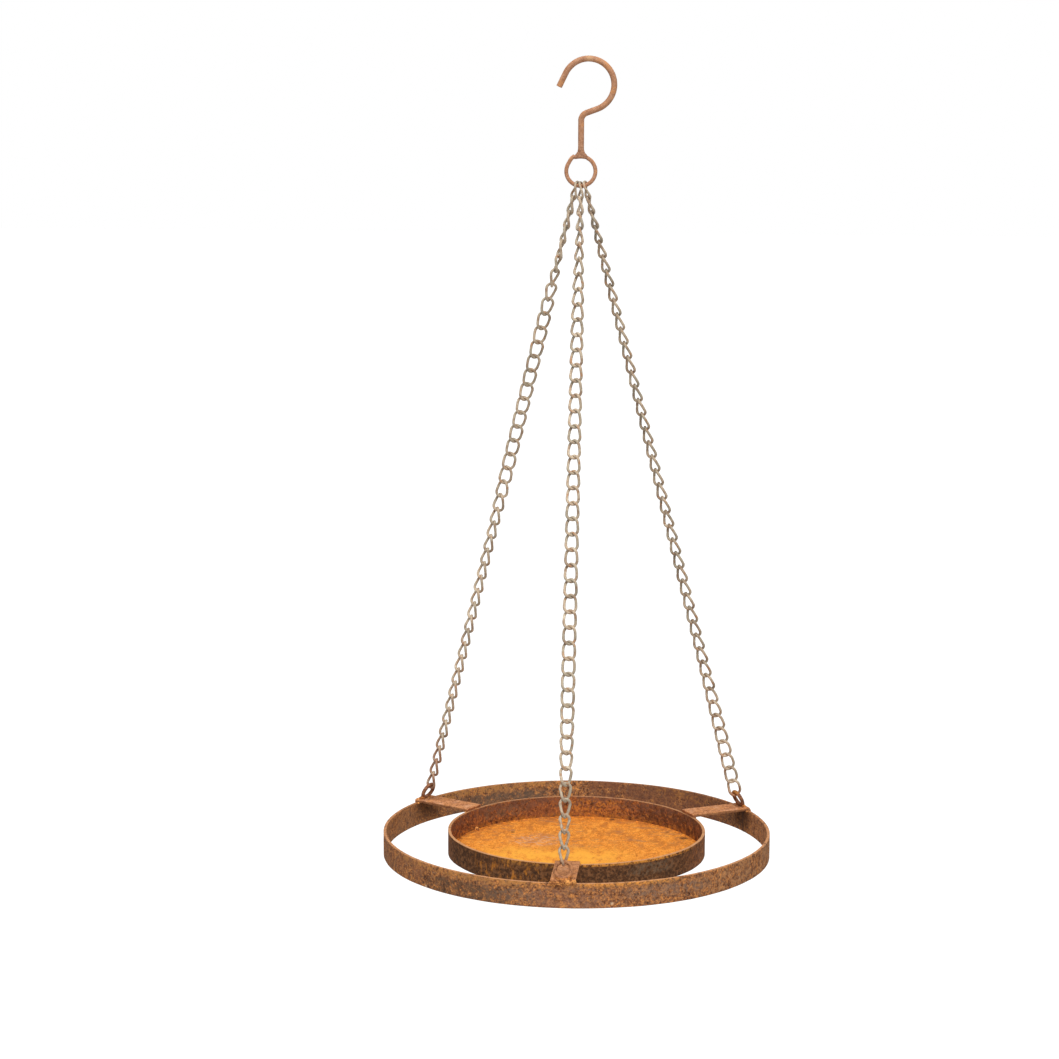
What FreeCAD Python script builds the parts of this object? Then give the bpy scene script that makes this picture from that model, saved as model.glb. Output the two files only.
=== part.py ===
import FreeCAD, Part
import math
import os

from FreeCAD import Vector

# Hanging bird feeder: a round-bar hook, an eye ring and three chains carry a wide steel ring,
# which holds a shallow feed tray at its centre on three flat spokes.
# Millimetres. The origin is the point inside the hook's bend that hangs on a branch or nail.
# +Z is up, -Y is the front, where one of the chains comes down.

# Hook, bent from one round bar
HOOK_BAR = 6.0
HOOK_BEND_RADIUS = 25.5       # to the middle of the bar
HOOK_TIP_ANGLE = 154.0        # where the bend ends and the straight tip starts
HOOK_TIP_LENGTH = 15.0
HOOK_NECK_ANGLE = 70.0        # how far the bend runs round below its own centre
NECK_RADIUS = 8.0             # the reverse bend into the shank
SHANK_OFFSET = 7.2            # from the bend's centre to the shank's line
SHANK_LENGTH = 33.6
FLARE_WIDTH = 15.0            # weld metal that spreads the shank's foot on the eye ring
FLARE_DEPTH = 4.6
FLARE_HEIGHT = 5.5
FLARE_WRAP = 2.0              # how far the weld metal comes down over the eye ring

# Eye ring that the three chains hang from
EYE_WIRE = 4.0
EYE_DIAMETER = 33.2           # outside

# Chain of twisted links
LINKS_PER_CHAIN = 44
LINK_WIRE = 2.4
LINK_INNER_LENGTH = 15.4
LINK_INNER_WIDTH = 9.2
LINK_TWIST = 60.0             # from one end of a link to its other end
LINK_PLAY = 0.05              # between a link and what it hangs on
TOP_LINK_PLAY = 0.4           # between the top links and the eye ring, where the feeder swings
TOP_LINK_SPACING = 4.5        # between the three top links on the eye ring
TOP_LINK_TURN = -20.0         # how far the top links lie off square to the eye ring's wire

# Outer ring and tray, both flat bar rolled on edge, and the spokes, flat bar laid on their rims
OUTER_RING_DIAMETER = 400.0
TRAY_DIAMETER = 266.7
BAND_HEIGHT = 25.0
BAND_THICKNESS = 3.0
FLOOR_THICKNESS = 2.0
SPOKE_WIDTH = 25.0
SPOKE_THICKNESS = 3.0
SPOKE_LAP = 2.4               # how far a spoke lies over the tray's rim
WELD_GAP = 0.1                # root gap where two pieces are welded

# Eyelets, wire rings welded on the spokes' outer ends and leaning towards the hook
EYELET_WIRE = 4.0
EYELET_DIAMETER = 20.0        # outside
EYELET_SINK = 0.92            # how deep its foot is let into the spoke's top
EYELET_LEAN = 25.6
EYELET_INSET = 4.1            # from the outer ring's outer face to where the eyelet stands

# Flats that stand for a round section, and corners that stand for a curve
FLATS_PER_BAR = 10
FLATS_PER_RING_WIRE = 8
FLATS_PER_LINK_WIRE = 5
EDGES_PER_BEND = 18
EDGES_PER_NECK = 4
CORNERS_PER_EYE = 24
CORNERS_PER_EYELET = 12
CORNERS_PER_LINK = 8
FLAT_LIMIT = 1e-8             # four corners closer to one plane than this make one face

# The three legs. side is the top link's place on the eye ring. A chain's links turn slowly on
# their way down: the least turn that makes the last one square to its eyelet, and half_turns
# more. Each kink is a stretch of links, from one to another, that takes up so many degrees of
# that turn, and what is left is spread evenly.
LEGS = {
    "front": {"azimuth": 0.0, "side": 0, "half_turns": 0, "kinks": [(0, 10, 40.0), (30, 43, 45.0)]},
    "left": {"azimuth": -120.0, "side": -1, "half_turns": -1,
             "kinks": [(3, 10, -80.0), (17, 24, -65.0)]},
    "right": {"azimuth": 120.0, "side": 1, "half_turns": 0, "kinks": [(0, 5, 15.0), (32, 43, 35.0)]},
}

UP = Vector(0, 0, 1)
ACROSS = Vector(1, 0, 0)
AWAY = Vector(0, 1, 0)

# Places along the hook and the shank
SHANK_X = -SHANK_OFFSET
BEND_CENTRE_Z = -(HOOK_BEND_RADIUS - HOOK_BAR / 2)
EYE_RADIUS = (EYE_DIAMETER - EYE_WIRE) / 2

# Radii of the two bands, and the height of a spoke's top over their rims
OUTER_RADIUS = OUTER_RING_DIAMETER / 2
OUTER_INSIDE = OUTER_RADIUS - BAND_THICKNESS
TRAY_RADIUS = TRAY_DIAMETER / 2
TRAY_INSIDE = TRAY_RADIUS - BAND_THICKNESS
SPOKE_RISE = SPOKE_THICKNESS + WELD_GAP


def turned(direction, angle):
    """The direction that an azimuth in degrees gives, measured from the front."""
    return FreeCAD.Rotation(UP, angle).multVec(direction)


def section(centre, along, facing, turn, wire, flats):
    """Corners of a flat-sided section of the round wire's area, one flat turned to facing.

    turn is the change of direction at this place, and the section is stretched along it, so
    that the wire keeps its thickness on both sides of the corner.
    """
    first = (facing - along * facing.dot(along)).normalize()
    second = along.cross(first)
    reach = wire / 2 * math.sqrt(2 * math.pi / (flats * math.sin(2 * math.pi / flats)))
    half_turn = math.asin(turn.Length / 2)
    corners = []
    for k in range(flats):
        angle = 2 * math.pi * (k + 0.5) / flats
        corner = first * (reach * math.cos(angle)) + second * (reach * math.sin(angle))
        if turn.Length > 1e-9:
            pull = Vector(turn).normalize()
            corner += pull * (corner.dot(pull) * (1 / math.cos(half_turn) - 1))
        corners.append(centre + corner)
    return corners


def sections_along(path, facings, wire, flats, closed):
    """A mitred section at every corner of a path."""
    last = len(path) - 1
    result = []
    for i, point in enumerate(path):
        before = path[i - 1] if closed or i > 0 else None
        after = path[(i + 1) % len(path)] if closed or i < last else None
        arriving = (point - before).normalize() if before else (after - point).normalize()
        leaving = (after - point).normalize() if after else arriving
        along = (arriving + leaving).normalize()
        result.append(section(point, along, facings[i], leaving - arriving, wire, flats))
    return result


def plane_faces(a, b, c, d):
    """One face where the four corners lie in a plane, two triangles where they don't."""
    normal = (b - a).cross(c - a).normalize()
    if abs(normal.dot(d - a)) < FLAT_LIMIT:
        loops = [[a, b, c, d]]
    else:
        loops = [[a, b, c], [a, c, d]]
    return [Part.Face(Part.makePolygon(loop + loop[:1])) for loop in loops]


def swept(sections, closed):
    """A solid through a row of sections, joined end to end or capped."""
    faces = []
    for i in range(len(sections) if closed else len(sections) - 1):
        here = sections[i]
        there = sections[(i + 1) % len(sections)]
        for k in range(len(here)):
            n = (k + 1) % len(here)
            faces += plane_faces(here[k], there[k], there[n], here[n])
    if not closed:
        for end in (sections[0], sections[-1]):
            faces.append(Part.Face(Part.makePolygon(end + end[:1])))
    solid = Part.Solid(Part.Shell(faces))
    if solid.Volume < 0:
        solid.reverse()
    return solid


def oval(half_width, half_length, corners):
    """Corners of an oval as (sideways, lengthways, angle): a polygon drawn apart lengthways."""
    straight = half_length - half_width
    reach = half_width / math.cos(math.pi / corners)
    result = []
    for k in range(corners):
        angle = 2 * math.pi * (k + 0.5) / corners
        lengthways = reach * math.sin(angle) + math.copysign(straight, math.sin(angle))
        result.append((reach * math.cos(angle), lengthways, angle))
    return result


def oval_ring(centre, sideways, lengthways, half_width, half_length, corners, wire, flats):
    """A closed flat ring of wire whose flats face its inside."""
    path = []
    facings = []
    for across, along, angle in oval(half_width, half_length, corners):
        path.append(centre + sideways * across + lengthways * along)
        facings.append(-(sideways * math.cos(angle) + lengthways * math.sin(angle)))
    return swept(sections_along(path, facings, wire, flats, True), True)


def arc_corners(centre, radius, start, end, edges):
    """Corners of the edges that touch an arc in the XZ plane, from start to end in degrees."""
    step = (end - start) / edges
    reach = radius / math.cos(math.radians(step) / 2)
    corners = []
    for k in range(edges):
        angle = math.radians(start + (k + 0.5) * step)
        corners.append(centre + Vector(reach * math.cos(angle), 0, reach * math.sin(angle)))
    return corners


def hook_line():
    """The bar's middle line from the tip to the shank's foot."""
    bend_centre = Vector(0, 0, BEND_CENTRE_Z)
    tip = math.radians(HOOK_TIP_ANGLE)
    neck = math.radians(HOOK_NECK_ANGLE)
    tip_start = bend_centre + Vector(math.cos(tip), 0, math.sin(tip)) * HOOK_BEND_RADIUS
    tip_end = tip_start + Vector(-math.sin(tip), 0, math.cos(tip)) * HOOK_TIP_LENGTH
    bend_end = bend_centre + Vector(math.cos(neck), 0, -math.sin(neck)) * HOOK_BEND_RADIUS
    run = (bend_end.x - SHANK_X - NECK_RADIUS * (1 - math.cos(neck))) / math.sin(neck)
    neck_start = bend_end + Vector(-math.sin(neck), 0, -math.cos(neck)) * run
    neck_centre = neck_start + Vector(math.cos(neck), 0, -math.sin(neck)) * NECK_RADIUS
    line = [tip_end]
    line += arc_corners(bend_centre, HOOK_BEND_RADIUS, HOOK_TIP_ANGLE, -HOOK_NECK_ANGLE, EDGES_PER_BEND)
    line += arc_corners(neck_centre, NECK_RADIUS, 180 - HOOK_NECK_ANGLE, 180, EDGES_PER_NECK)
    line.append(Vector(SHANK_X, 0, neck_centre.z - SHANK_LENGTH))
    return line


def eye_centre():
    return hook_line()[-1] - UP * (EYE_DIAMETER / 2)


def eye_ring(wire=EYE_WIRE):
    return oval_ring(eye_centre(), ACROSS, UP, EYE_RADIUS, EYE_RADIUS, CORNERS_PER_EYE, wire,
                     FLATS_PER_RING_WIRE)


def widened(corners, middle, width, depth):
    """A section of the bar spread to the weld metal's width and depth."""
    result = []
    for corner in corners:
        x = (corner.x - middle.x) * width / HOOK_BAR
        y = (corner.y - middle.y) * depth / HOOK_BAR
        result.append(Vector(middle.x + x, middle.y + y, middle.z))
    return result


def hook():
    """The bent bar with its foot spread by weld metal and hollowed to the eye ring."""
    line = hook_line()
    foot = line[-1]
    line[-1] = foot + UP * FLARE_HEIGHT
    sections = sections_along(line, [AWAY] * len(line), HOOK_BAR, FLATS_PER_BAR, False)
    root = [corner - UP * (FLARE_HEIGHT / 2) for corner in sections[-1]]
    root_width = HOOK_BAR + (FLARE_WIDTH - HOOK_BAR) / 3
    root_depth = (HOOK_BAR + FLARE_DEPTH) / 2
    sections.append(widened(root, foot + UP * (FLARE_HEIGHT / 2), root_width, root_depth))
    sections.append(widened(root, foot - UP * FLARE_WRAP, FLARE_WIDTH, FLARE_DEPTH))
    return swept(sections, False).cut(eye_ring(EYE_WIRE + 2 * WELD_GAP))


def chain_reach():
    """From the middle of the eye ring's wire to the middle of the eyelet's arch."""
    inside = LINKS_PER_CHAIN * LINK_INNER_LENGTH
    play = LINKS_PER_CHAIN * LINK_PLAY + TOP_LINK_PLAY
    return inside - play - EYE_WIRE / 2 - EYELET_WIRE / 2


def outward(leg):
    return turned(-AWAY, leg["azimuth"])


def eyelet_stand():
    """The radius at which an eyelet stands."""
    return OUTER_RADIUS - EYELET_INSET


def eyelet_rise(leg):
    """The way an eyelet's plane leans: up and towards the hook."""
    lean = math.radians(EYELET_LEAN)
    return UP * math.cos(lean) - outward(leg) * math.sin(lean)


def eyelet_reach():
    """Along the lean, from the spoke's top to the middle of the wire at the eyelet's arch."""
    foot = (EYELET_WIRE / 2 - EYELET_SINK) / math.cos(math.radians(EYELET_LEAN))
    return foot + EYELET_DIAMETER - EYELET_WIRE


def arch_radius():
    return eyelet_stand() - eyelet_reach() * math.sin(math.radians(EYELET_LEAN))


def rim_z():
    """Height of both rims: the front chain hangs straight from the eye ring to its eyelet."""
    drop = math.sqrt(chain_reach() ** 2 - arch_radius() ** 2)
    wire_z = eye_centre().z - EYE_RADIUS
    return wire_z - drop - eyelet_reach() * math.cos(math.radians(EYELET_LEAN)) - SPOKE_RISE


def tray_centre():
    return Vector(SHANK_X, 0, rim_z())


def eyelet_foot(leg):
    """The point on a spoke's top where its eyelet stands."""
    return tray_centre() + outward(leg) * eyelet_stand() + UP * SPOKE_RISE


def arch_middle(leg):
    """Middle of the wire at the top of an eyelet's arch."""
    return eyelet_foot(leg) + eyelet_rise(leg) * eyelet_reach()


def eye_seat(leg):
    """Middle of the eye ring's wire where a leg's top link hangs."""
    aside = leg["side"] * TOP_LINK_SPACING
    drop = math.sqrt(EYE_RADIUS ** 2 - aside ** 2)
    return eye_centre() + ACROSS * aside - UP * drop


def chain_link(centre, down, level, top_angle):
    """One twisted link.

    Angles turn from level, a direction across the chain, about the chain's own line. The link's
    upper end lies at top_angle and its lower end LINK_TWIST further round.
    """
    beside = level.cross(down)
    half_width = (LINK_INNER_WIDTH + LINK_WIRE) / 2
    half_length = (LINK_INNER_LENGTH + LINK_WIRE) / 2
    path = []
    facings = []
    for across, along, angle in oval(half_width, half_length, CORNERS_PER_LINK):
        way_down = (half_length - along) / (2 * half_length)
        turn = math.radians(top_angle + LINK_TWIST * way_down)
        arm = level * math.cos(turn) + beside * math.sin(turn)
        path.append(centre + arm * across - down * along)
        facings.append(-(arm * math.cos(angle) - down * math.sin(angle)))
    return swept(sections_along(path, facings, LINK_WIRE, FLATS_PER_LINK_WIRE, True), True)


def chain_turn(leg, start_angle, k):
    """How far link k is turned from the top link."""
    whole = (90 - LINK_TWIST - start_angle) % 180 + 180 * leg["half_turns"]
    turn = 0
    for start, end, degrees in leg["kinks"]:
        part = min(max((k - start) / (end - start), 0), 1)
        turn += degrees * part * part * (3 - 2 * part)
        whole -= degrees
    return turn + whole * k / (LINKS_PER_CHAIN - 1)


def chain(leg):
    """All links of one leg from the eye ring down."""
    start = eye_seat(leg)
    run = arch_middle(leg) - start
    down = Vector(run).normalize()
    level = turned(ACROSS, leg["azimuth"])
    beside = level.cross(down)
    astride = down.cross(ACROSS).normalize()
    square = math.degrees(math.atan2(astride.dot(beside), astride.dot(level)))
    start_angle = square + TOP_LINK_TURN
    spare = chain_reach() - run.Length
    pitch = LINK_INNER_LENGTH - LINK_PLAY - spare / LINKS_PER_CHAIN
    first = LINK_INNER_LENGTH / 2 - EYE_WIRE / 2 - TOP_LINK_PLAY
    links = []
    for k in range(LINKS_PER_CHAIN):
        centre = start + down * (first + k * pitch)
        angle = start_angle + chain_turn(leg, start_angle, k)
        links.append(chain_link(centre, down, level, angle))
    return links


def band(outside, inside):
    """A flat bar rolled on edge and welded into a ring."""
    base = tray_centre() - UP * BAND_HEIGHT
    outer = Part.makeCylinder(outside, BAND_HEIGHT, base)
    return outer.cut(Part.makeCylinder(inside, BAND_HEIGHT, base))


def tray_floor():
    """Sheet disc set inside the foot of the tray's band."""
    base = tray_centre() - UP * BAND_HEIGHT
    return Part.makeCylinder(TRAY_INSIDE - WELD_GAP, FLOOR_THICKNESS, base)


def spoke(leg):
    """Flat bar laid on both rims, its outer end rounded to the outer ring."""
    base = tray_centre() + UP * WELD_GAP
    inner = TRAY_RADIUS - SPOKE_LAP
    bar = Part.makeBox(SPOKE_WIDTH, OUTER_RADIUS - inner, SPOKE_THICKNESS)
    bar.translate(base - ACROSS * (SPOKE_WIDTH / 2) - AWAY * OUTER_RADIUS)
    bar.rotate(base, UP, leg["azimuth"])
    return bar.common(Part.makeCylinder(OUTER_RADIUS, SPOKE_THICKNESS, base))


def eyelet(leg):
    """Round wire ring, its foot cut flat where it stands on the spoke."""
    radius = (EYELET_DIAMETER - EYELET_WIRE) / 2
    rise = eyelet_rise(leg)
    centre = arch_middle(leg) - rise * radius
    level = turned(ACROSS, leg["azimuth"])
    ring = oval_ring(centre, level, rise, radius, radius, CORNERS_PER_EYELET, EYELET_WIRE,
                     FLATS_PER_RING_WIRE)
    room = 2 * EYELET_DIAMETER
    above = Part.makeBox(room, room, room)
    above.translate(eyelet_foot(leg) + Vector(-room / 2, -room / 2, WELD_GAP))
    return ring.common(above)


def one_solid(shape):
    """The single solid of a cut or common."""
    solids = shape.Solids
    if len(solids) != 1:
        raise ValueError("a piece fell apart or vanished")
    return solids[0]


def all_nodes():
    nodes = {
        "hook": one_solid(hook()),
        "eye_ring": eye_ring(),
        "outer_ring": one_solid(band(OUTER_RADIUS, OUTER_INSIDE)),
        "tray_band": one_solid(band(TRAY_RADIUS, TRAY_INSIDE)),
        "tray_floor": tray_floor(),
    }
    for name, leg in LEGS.items():
        links = chain(leg)
        nodes["spoke_" + name] = one_solid(spoke(leg))
        nodes["eyelet_" + name] = one_solid(eyelet(leg))
        nodes["top_link_" + name] = links[0]
        nodes["chain_" + name] = Part.makeCompound(links[1:-1])
        nodes["end_link_" + name] = links[-1]
    return nodes


os.makedirs("parts", exist_ok=True)
for node, shape in all_nodes().items():
    shape.exportStep("parts/" + node + ".step")
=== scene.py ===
import math

import bmesh
import bpy
import numpy as np
from mathutils import Matrix, Vector, noise


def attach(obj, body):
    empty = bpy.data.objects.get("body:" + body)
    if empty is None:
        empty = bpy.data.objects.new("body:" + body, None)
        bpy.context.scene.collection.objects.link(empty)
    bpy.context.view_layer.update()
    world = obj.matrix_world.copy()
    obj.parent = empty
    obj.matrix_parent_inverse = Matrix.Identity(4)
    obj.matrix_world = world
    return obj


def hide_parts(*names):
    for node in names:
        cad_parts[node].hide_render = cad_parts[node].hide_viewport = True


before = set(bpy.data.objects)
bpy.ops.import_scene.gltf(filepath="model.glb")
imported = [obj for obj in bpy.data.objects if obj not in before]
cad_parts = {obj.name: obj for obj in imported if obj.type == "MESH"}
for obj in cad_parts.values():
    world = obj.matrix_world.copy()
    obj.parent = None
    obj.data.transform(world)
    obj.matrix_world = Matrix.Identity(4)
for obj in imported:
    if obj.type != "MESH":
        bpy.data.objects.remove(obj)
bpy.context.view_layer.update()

# Hanging bird feeder: its looks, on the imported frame. Lengths in this script are millimetres,
# and turn into metres where a mesh is made. The places repeat the construction's own values.

# Hook and eye ring
HOOK_BAR = 6.0
BEND_RADIUS = 25.5
TIP_ANGLE = 154.0
TIP_LENGTH = 15.0
NECK_ANGLE = 70.0
NECK_RADIUS = 8.0
SHANK_OFFSET = 7.2
SHANK_LENGTH = 33.6
FLARE_WIDTH = 15.0
FLARE_DEPTH = 4.6
FLARE_HEIGHT = 5.5
FLARE_WRAP = 2.0
EYE_WIRE = 4.0
EYE_RADIUS = 14.6

# Chains
LINKS = 44
LINK_WIRE = 2.4
LINK_LENGTH = 15.4
LINK_WIDTH = 9.2
LINK_TWIST = 60.0
LINK_PLAY = 0.05
TOP_PLAY = 0.4
TOP_SPACING = 4.5
TOP_TURN = -20.0

# Rings, spokes and eyelets
OUTER_RADIUS = 200.0
TRAY_RADIUS = 133.35
BAND_HEIGHT = 25.0
BAND_THICKNESS = 3.0
FLOOR_THICKNESS = 2.0
SPOKE_WIDTH = 25.0
SPOKE_THICKNESS = 3.0
SPOKE_LAP = 2.4
WELD_GAP = 0.1
EYELET_WIRE = 4.0
EYELET_DIAMETER = 20.0
EYELET_SINK = 0.92
EYELET_LEAN = 25.6
EYELET_STAND = 195.9

# Only in the looks: how much thicker a link's wire shows, on its radius, and the welds that close
# the two bands, in degrees round the tray, 0 at the front and + to the right
LINK_SWELL = 0.22
OUTER_SEAM = 119.2
TRAY_SEAM = -122.3

# The heights over the rim, in a stain's patch, that take in a whole band
FULL_HEIGHT = (-BAND_HEIGHT - 1, 2)

# The three legs. side is the chain's place on the eye ring. half_turns are added to the turn that
# a chain has between its ends, and kinks are the stretches of links that take a share of it by
# themselves: first link, last link, degrees.
LEGS = {
    "front": {"azimuth": 0.0, "side": 0, "half_turns": 0, "kinks": [(0, 10, 40.0), (30, 43, 45.0)]},
    "left": {"azimuth": -120.0, "side": -1, "half_turns": -1,
             "kinks": [(3, 10, -80.0), (17, 24, -65.0)]},
    "right": {"azimuth": 120.0, "side": 1, "half_turns": 0, "kinks": [(0, 5, 15.0), (32, 43, 35.0)]},
}

UP = Vector((0, 0, 1))
ACROSS = Vector((1, 0, 0))
AWAY = Vector((0, 1, 0))


def turned(direction, degrees):
    """A level direction turned about the upright, counter-clockwise seen from above."""
    return Matrix.Rotation(math.radians(degrees), 3, "Z") @ direction


def smooth(value):
    """An even ramp from 0 to 1 for values from 0 to 1."""
    value = min(max(value, 0.0), 1.0)
    return value * value * (3 - 2 * value)


def rough(point, size, seed=0.0):
    """Fractal noise from about -1 to 1, its waves about size across."""
    return noise.fractal(Vector(point) / size + Vector((seed, seed * 1.7, -seed)), 0.6, 2.0, 4)


# Places of the main pieces
bend_centre = Vector((0, 0, -(BEND_RADIUS - HOOK_BAR / 2)))
neck = math.radians(NECK_ANGLE)
bend_end = bend_centre + Vector((math.cos(neck), 0, -math.sin(neck))) * BEND_RADIUS
neck_run = (bend_end.x + SHANK_OFFSET - NECK_RADIUS * (1 - math.cos(neck))) / math.sin(neck)
neck_start = bend_end + Vector((-math.sin(neck), 0, -math.cos(neck))) * neck_run
neck_centre = neck_start + Vector((math.cos(neck), 0, -math.sin(neck))) * NECK_RADIUS
foot = Vector((-SHANK_OFFSET, 0, neck_centre.z - SHANK_LENGTH))
eye_centre = foot - UP * (EYE_RADIUS + EYE_WIRE / 2)
lean = math.radians(EYELET_LEAN)
eyelet_reach = (EYELET_WIRE / 2 - EYELET_SINK) / math.cos(lean) + EYELET_DIAMETER - EYELET_WIRE
arch_radius = EYELET_STAND - eyelet_reach * math.sin(lean)
chain_reach = LINKS * (LINK_LENGTH - LINK_PLAY) - TOP_PLAY - EYE_WIRE / 2 - EYELET_WIRE / 2
rim_z = (eye_centre.z - EYE_RADIUS - math.sqrt(chain_reach ** 2 - arch_radius ** 2)
         - eyelet_reach * math.cos(lean) - SPOKE_THICKNESS - WELD_GAP)
tray_centre = Vector((-SHANK_OFFSET, 0, rim_z))
spoke_top = rim_z + WELD_GAP + SPOKE_THICKNESS


def outward(leg):
    """The way from the tray's middle along a leg's spoke."""
    return turned(-AWAY, leg["azimuth"])


def eyelet_rise(leg):
    """The way from an eyelet's foot to its arch, leaning inwards."""
    return UP * math.cos(lean) - outward(leg) * math.sin(lean)


def eyelet_foot(leg):
    """Where an eyelet stands on its spoke."""
    return tray_centre + outward(leg) * EYELET_STAND + UP * (SPOKE_THICKNESS + WELD_GAP)


def arch_middle(leg):
    """The middle of the wire at an eyelet's top, where the end link hangs."""
    return eyelet_foot(leg) + eyelet_rise(leg) * eyelet_reach


def eye_seat(leg):
    """The middle of the eye ring's wire where a leg's top link hangs."""
    aside = leg["side"] * TOP_SPACING
    return eye_centre + ACROSS * aside - UP * math.sqrt(EYE_RADIUS ** 2 - aside ** 2)


def even(start, end, steps):
    """Evenly spaced values from start to end, one more than the steps."""
    return [start + (end - start) * i / steps for i in range(steps + 1)]


def circle_path(centre, right, up, radius, angles):
    """Points on a circle at those angles, in degrees, and the ways outwards there."""
    ways = []
    for angle in angles:
        turn = math.radians(angle)
        ways.append(right * math.cos(turn) + up * math.sin(turn))
    return [centre + way * radius for way in ways], ways


# Mesh helpers

def piece(name, parts, material, body, nodes, sharp=40.0):
    """One object from (vertices, faces) parts, riding on a body and standing for CAD nodes."""
    mesh = bpy.data.meshes.new(name)
    vertices = []
    faces = []
    for points, polygons in parts:
        base = len(vertices)
        vertices += [tuple(c / 1000 for c in p) for p in points]
        faces += [tuple(base + i for i in polygon) for polygon in polygons]
    mesh.from_pydata(vertices, [], faces)
    mesh.validate()
    mesh.shade_smooth()
    mesh.set_sharp_from_angle(angle=math.radians(sharp))
    mesh.materials.append(material)
    obj = bpy.data.objects.new(name, mesh)
    bpy.context.scene.collection.objects.link(obj)
    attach(obj, body)
    if nodes:
        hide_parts(*nodes)
    return obj


def strip(first, second, count):
    """Faces between two closed rows of points, which start at those numbers."""
    faces = []
    for k in range(count):
        n = (k + 1) % count
        faces.append((first + k, first + n, second + n, second + k))
    return faces


def tube(path, facing, radius, sides, closed=False, swell=None):
    """A wire along a path. radius is one number, one per point, or one pair per point, towards
    facing and across it. swell gives how far out a point of the surface moves."""
    path = np.array([tuple(p) for p in path], float)
    facing = np.array([tuple(f) for f in facing], float)
    count = len(path)
    if closed:
        along = np.roll(path, -1, 0) - np.roll(path, 1, 0)
    else:
        along = np.gradient(path, axis=0)
    along /= np.linalg.norm(along, axis=1)[:, None]
    first = facing - along * np.sum(facing * along, 1)[:, None]
    first /= np.linalg.norm(first, axis=1)[:, None]
    second = np.cross(along, first)
    radius = np.array(radius, float)
    if radius.ndim == 0:
        radius = np.full((count, 2), float(radius))
    elif radius.ndim == 1:
        radius = np.stack([radius, radius], 1)
    turn = np.linspace(0, 2 * math.pi, sides, endpoint=False)
    ring = (np.cos(turn)[None, :, None] * first[:, None, :] * radius[:, 0][:, None, None]
            + np.sin(turn)[None, :, None] * second[:, None, :] * radius[:, 1][:, None, None])
    points = (path[:, None, :] + ring).reshape(-1, 3)
    if swell:
        away = ring.reshape(-1, 3)
        away /= np.maximum(np.linalg.norm(away, axis=1)[:, None], 1e-9)
        points = points + away * np.array([swell(p) for p in points])[:, None]
    faces = []
    for i in range(count if closed else count - 1):
        faces += strip(i * sides, (i + 1) % count * sides, sides)
    if not closed:
        faces.append(tuple(reversed(range(sides))))
        faces.append(tuple(range((count - 1) * sides, count * sides)))
    return points, faces


def stadium(half_width, half_length, arc_steps, side_steps):
    """An oval's points as (across, along, across outwards, along outwards)."""
    straight = half_length - half_width
    points = []
    for start, shift in ((0, straight), (180, -straight)):
        for i in range(arc_steps):
            angle = math.radians(start + 180 * i / arc_steps)
            c, s = math.cos(angle), math.sin(angle)
            points.append((half_width * c, half_width * s + shift, c, s))
        angle = math.radians(start + 180)
        c = math.cos(angle)
        for i in range(side_steps):
            points.append((half_width * c, shift * (1 - 2 * i / side_steps), c, 0.0))
    return points


def blob(centre, size, seed, turn=0.0, tilt=(0, 0, 1)):
    """A small lump of weld metal: an uneven ball, sunk into what it sits on. Its height points
    along tilt, and turn, in radians, turns it about that."""
    ball = bmesh.new()
    bmesh.ops.create_icosphere(ball, subdivisions=3, radius=1.0)
    lie = Vector(tilt).to_track_quat("Z", "Y").to_matrix() @ Matrix.Rotation(turn, 3, "Z")
    points = []
    for vertex in ball.verts:
        point = vertex.co * (1 + 0.28 * rough(vertex.co, 0.9, seed))
        point = Vector((point.x * size[0], point.y * size[1], point.z * size[2]))
        points.append(Vector(centre) + lie @ point)
    faces = [tuple(v.index for v in face.verts) for face in ball.faces]
    ball.free()
    return points, faces


# Shader helpers

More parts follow.
